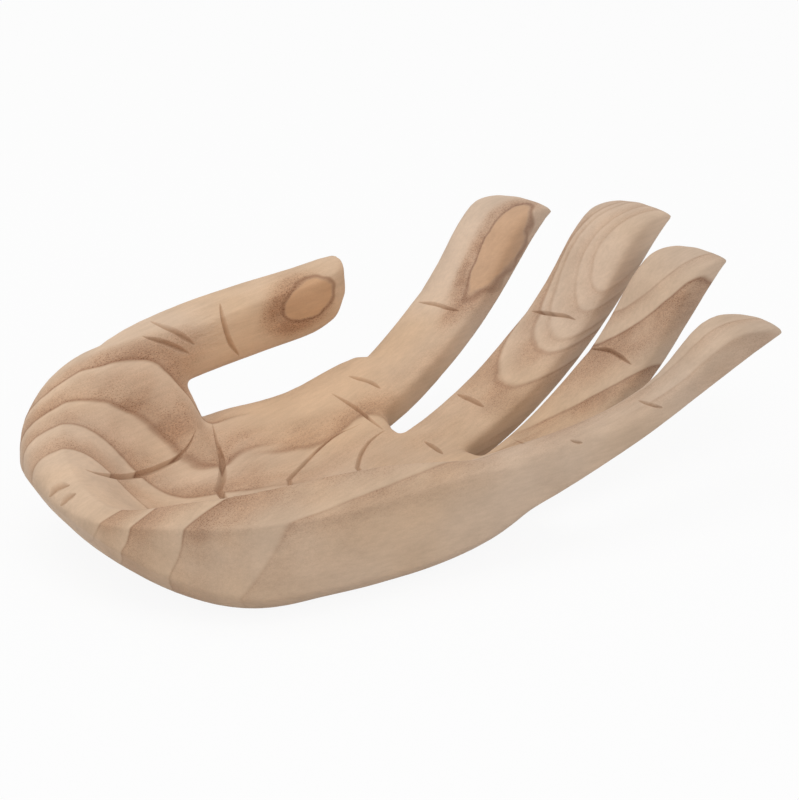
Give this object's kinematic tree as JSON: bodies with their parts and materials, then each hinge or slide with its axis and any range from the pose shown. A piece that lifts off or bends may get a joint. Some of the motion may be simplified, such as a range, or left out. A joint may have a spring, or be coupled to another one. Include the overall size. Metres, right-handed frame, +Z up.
{
  "type": "hand decoration",
  "caption": "Shallow wooden dish carved as an open left hand, palm up, with upcurved fingers and a raised thumb, resting on small felt pads.",
  "frame": {"origin": "on the table, under the middle of the overall box", "axes": "+X from the heel of the hand to the fingertips, +Y towards the thumb, +Z up out of the palm"},
  "size_m": [0.2936, 0.1874, 0.0786],
  "materials": {
    "wood": "pale open-grained wood, sanded and left bare, matte",
    "felt": "pressed brown felt"
  },
  "bodies": {
    "root": {"carved_hand": "wood", "heel_pad_little_side": "felt", "front_pad_little_side": "felt", "front_pad_thumb_side": "felt", "heel_pad_thumb_side": "felt"}
  },
  "joints": []
}
